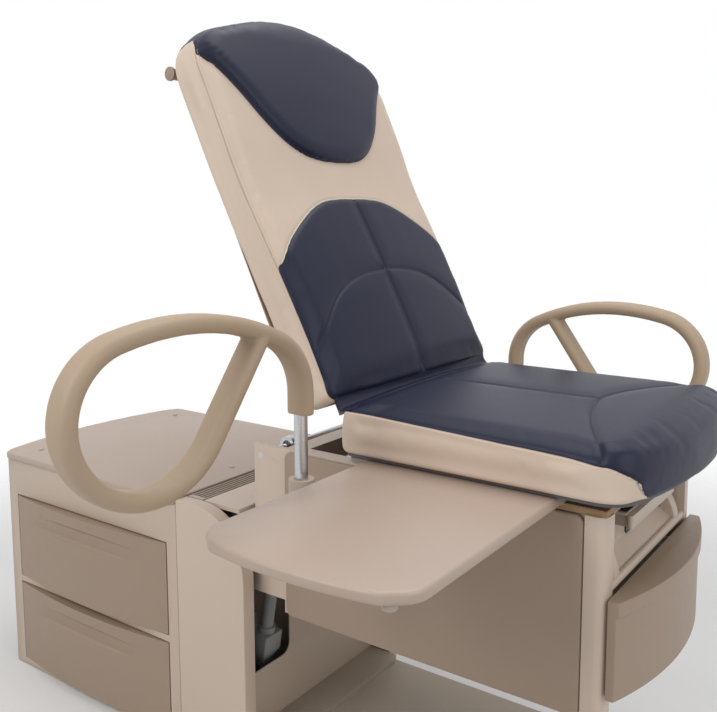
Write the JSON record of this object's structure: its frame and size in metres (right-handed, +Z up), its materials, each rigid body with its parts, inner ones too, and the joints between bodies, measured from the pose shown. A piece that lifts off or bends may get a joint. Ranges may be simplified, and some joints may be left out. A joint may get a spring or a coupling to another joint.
{
  "type": "examination table",
  "caption": "Powered high-low medical examination table with a reclining upholstered back, swing arms, side shelf, storage cabinet and drawers.",
  "frame": {"origin": "on the floor, under the front face of the lift tower, on the centre line", "axes": "+X towards the foot end, +Y towards the far side, +Z up"},
  "size_m": [1.7779, 1.3804, 1.6473],
  "materials": {
    "warm_white_shell": "satin textured powder coat",
    "cabinet_paint": "satin textured powder coat",
    "taupe_panel": "moulded, fine matte grain",
    "worktop_laminate": "moulded, fine matte grain",
    "plastic_trim": "moulded, satin",
    "base_paint": "satin powder coat",
    "frame_steel": "satin black-grey paint",
    "machined_steel": "ground and oiled",
    "rail_zinc": "zinc plated",
    "actuator_grey": "sand-cast and painted grey",
    "black_rubber": "matte",
    "guide_polymer": "matte",
    "drawer_liner": "moulded, satin",
    "board_ply": "sealed plywood",
    "navy_vinyl": "fine-grained upholstery vinyl",
    "beige_vinyl": "fine-grained upholstery vinyl",
    "arm_foam": "self-skinned foam, satin",
    "switch_teal": "glossy",
    "switch_dark": "matte",
    "sector_brown": "matte",
    "pan_white": "moulded, satin"
  },
  "bodies": {
    "root": {"base_plate": "base_paint", "leveling_feet": "black_rubber", "tower_frame": "frame_steel", "guide_rails": "machined_steel", "tower_front_cover": "cabinet_paint", "column_cover_near": "warm_white_shell", "column_cover_far": "warm_white_shell", "tower_top_cover": "warm_white_shell", "vent_grille": "plastic_trim", "cabinet_shell": "cabinet_paint", "cabinet_worktop": "worktop_laminate", "worktop_plugs": "plastic_trim", "cabinet_drawer_rails": "rail_zinc", "lift_pivot_block": "frame_steel"},
    "upper_drawer": {"upper_drawer_front": "taupe_panel", "upper_drawer_box": "drawer_liner"},
    "lower_drawer": {"lower_drawer_front": "taupe_panel", "lower_drawer_box": "drawer_liner"},
    "lift_actuator_body": {"lift_actuator": "actuator_grey"},
    "lift_rod_body": {"lift_rod": "machined_steel"},
    "carriage": {"lift_cross_shaft": "machined_steel", "carriage_frame": "warm_white_shell", "guide_blocks": "guide_polymer", "side_panel_near": "taupe_panel", "side_panel_far": "taupe_panel", "top_deck": "board_ply", "front_bay": "warm_white_shell", "stirrup_cover_near": "warm_white_shell", "stirrup_cover_far": "warm_white_shell", "sector_plates": "sector_brown", "pan_rails": "rail_zinc", "switch_bezel": "switch_dark", "front_drawer_rails": "rail_zinc", "seat_risers": "frame_steel", "seat_board": "board_ply", "seat_cushion": "navy_vinyl", "shelf_rails": "frame_steel", "arm_socket_near": "plastic_trim", "arm_socket_far": "plastic_trim", "back_hinge_lugs": "frame_steel", "hinge_pins": "machined_steel"},
    "pan": {"treatment_pan": "pan_white"},
    "rocker": {"rocker_switch": "switch_teal"},
    "front_drawer": {"front_drawer_front": "taupe_panel", "front_drawer_box": "drawer_liner"},
    "shelf": {"side_shelf": "worktop_laminate", "shelf_knob": "plastic_trim"},
    "near_post_body": {"arm_post_near": "machined_steel"},
    "near_arm_body": {"arm_loop_near": "arm_foam"},
    "far_post_body": {"arm_post_far": "machined_steel"},
    "far_arm_body": {"arm_loop_far": "arm_foam"},
    "back": {"back_frame": "frame_steel", "back_board": "board_ply", "back_shell": "taupe_panel", "back_cushion": "beige_vinyl", "roll_bar": "taupe_panel"}
  },
  "joints": [
    {"name": "lift", "type": "slide", "parent": "root", "child": "carriage", "axis": [0, 0, 1], "range_m": [-0.13, 0.09]},
    {"name": "lift_tilt", "type": "hinge", "parent": "root", "child": "lift_actuator_body", "pos_m": [-0.047, -0.145, 0.165], "axis": [0, 1, 0], "range_deg": [-2.2, 3.2]},
    {"name": "lift_rod_slide", "type": "slide", "parent": "lift_actuator_body", "child": "lift_rod_body", "axis": [0.1711, 0, 0.9853], "range_m": [-0.135, 0.095]},
    {"name": "back_recline", "type": "hinge", "parent": "carriage", "child": "back", "pos_m": [0.3, 0, 0.86], "axis": [0, 1, 0], "range_deg": [-64, 16]},
    {"name": "near_arm_height", "type": "slide", "parent": "carriage", "child": "near_post_body", "axis": [0, 0, 1], "range_m": [-0.102, 0.008]},
    {"name": "near_arm_swing", "type": "hinge", "parent": "near_post_body", "child": "near_arm_body", "pos_m": [0.322, -0.43, 0.9], "axis": [0, 0, 1], "range_deg": [-18, 82]},
    {"name": "far_arm_height", "type": "slide", "parent": "carriage", "child": "far_post_body", "axis": [0, 0, 1], "range_m": [0, 0.11]},
    {"name": "far_arm_swing", "type": "hinge", "parent": "far_post_body", "child": "far_arm_body", "pos_m": [0.322, 0.43, 0.8], "axis": [0, 0, 1], "range_deg": [0, 100]},
    {"name": "shelf_slide", "type": "slide", "parent": "carriage", "child": "shelf", "axis": [0, 1, 0], "range_m": [0, 0.44]},
    {"name": "upper_drawer_slide", "type": "slide", "parent": "root", "child": "upper_drawer", "axis": [0, -1, 0], "range_m": [0, 0.4]},
    {"name": "lower_drawer_slide", "type": "slide", "parent": "root", "child": "lower_drawer", "axis": [0, -1, 0], "range_m": [0, 0.4]},
    {"name": "front_drawer_slide", "type": "slide", "parent": "carriage", "child": "front_drawer", "axis": [1, 0, 0], "range_m": [0, 0.35]},
    {"name": "pan_slide", "type": "slide", "parent": "carriage", "child": "pan", "axis": [1, 0, 0], "range_m": [0, 0.28]},
    {"name": "rocker_tilt", "type": "hinge", "parent": "carriage", "child": "rocker", "pos_m": [0.768, -0.017, 0.648], "axis": [0, 1, 0], "range_deg": [-12, 0]}
  ],
  "couplings": [
    {"joint": "lift_tilt", "follows": "lift", "rad_per_m": -0.34},
    {"joint": "lift_rod_slide", "follows": "lift", "ratio": 0.985}
  ]
}
